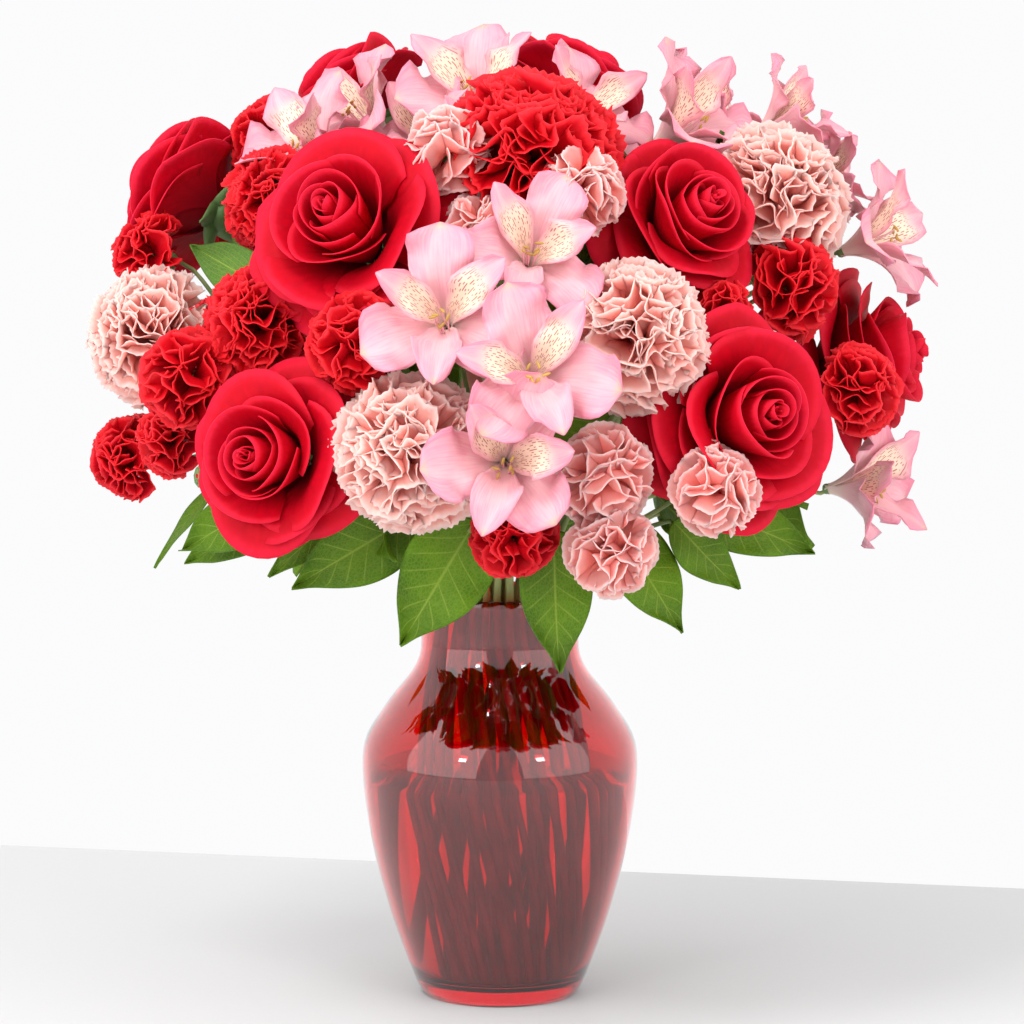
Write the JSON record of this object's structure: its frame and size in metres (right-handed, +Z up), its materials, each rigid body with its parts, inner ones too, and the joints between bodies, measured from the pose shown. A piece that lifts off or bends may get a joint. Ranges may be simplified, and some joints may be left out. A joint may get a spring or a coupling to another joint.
{
  "type": "bouquet of roses and carnations in a vase",
  "caption": "Dense round mixed bouquet of roses, carnations, mini carnations and alstroemeria with broad leaves, standing in a ruby glass ginger-jar vase of water.",
  "frame": {"origin": "centre of the vase's flat foot, on the surface that it stands on", "axes": "+Z up along the vase's axis, -Y towards the front of the bouquet, +X to its right seen from the front"},
  "size_m": [0.4069, 0.3914, 0.477],
  "materials": {
    "ruby_glass": "clear ruby-red glass, polished",
    "water": "still water",
    "rose_petal": "velvety dark red petals",
    "red_petal": "ruffled scarlet petals",
    "pink_petal": "ruffled pale pink petals",
    "alstroemeria_petal": "smooth pale pink petals with flecks",
    "salal_leaf": "broad green leaves, slightly glossy",
    "ruscus_leaf": "dark green pointed leaves"
  },
  "bodies": {
    "root": {"alstroemeria_spray_back": "alstroemeria_petal", "alstroemeria_spray_centre": "alstroemeria_petal", "alstroemeria_spray_right": "alstroemeria_petal", "alstroemeria_spray_top": "alstroemeria_petal", "alstroemeria_spray_upper_right": "alstroemeria_petal", "pink_carnation_back_low": "pink_petal", "pink_carnation_centre": "pink_petal", "pink_carnation_far_left": "pink_petal", "pink_carnation_low": "pink_petal", "pink_carnation_right": "pink_petal", "pink_mini_carnation_spray_back": "pink_petal", "pink_mini_carnation_spray_low": "pink_petal", "pink_mini_carnation_spray_top": "pink_petal", "red_carnation_back": "red_petal", "red_carnation_left": "red_petal", "red_carnation_top": "red_petal", "red_carnation_upper_left": "red_petal", "red_mini_carnation_spray_back": "red_petal", "red_mini_carnation_spray_front": "red_petal", "red_mini_carnation_spray_left": "red_petal", "red_mini_carnation_spray_right": "red_petal", "rose_back_left": "rose_petal", "rose_back_right": "rose_petal", "rose_far_left": "rose_petal", "rose_far_right": "rose_petal", "rose_lower_left": "rose_petal", "rose_lower_right": "rose_petal", "rose_top": "rose_petal", "rose_top_left": "rose_petal", "rose_upper_left": "rose_petal", "rose_upper_right": "rose_petal", "ruscus_sprig_left": "ruscus_leaf", "ruscus_sprig_right": "ruscus_leaf", "salal_sprig_back_left": "salal_leaf", "salal_sprig_back_right": "salal_leaf", "salal_sprig_front": "salal_leaf", "salal_sprig_left": "salal_leaf", "salal_sprig_right": "salal_leaf", "vase": "ruby_glass", "water": "water"}
  },
  "joints": []
}
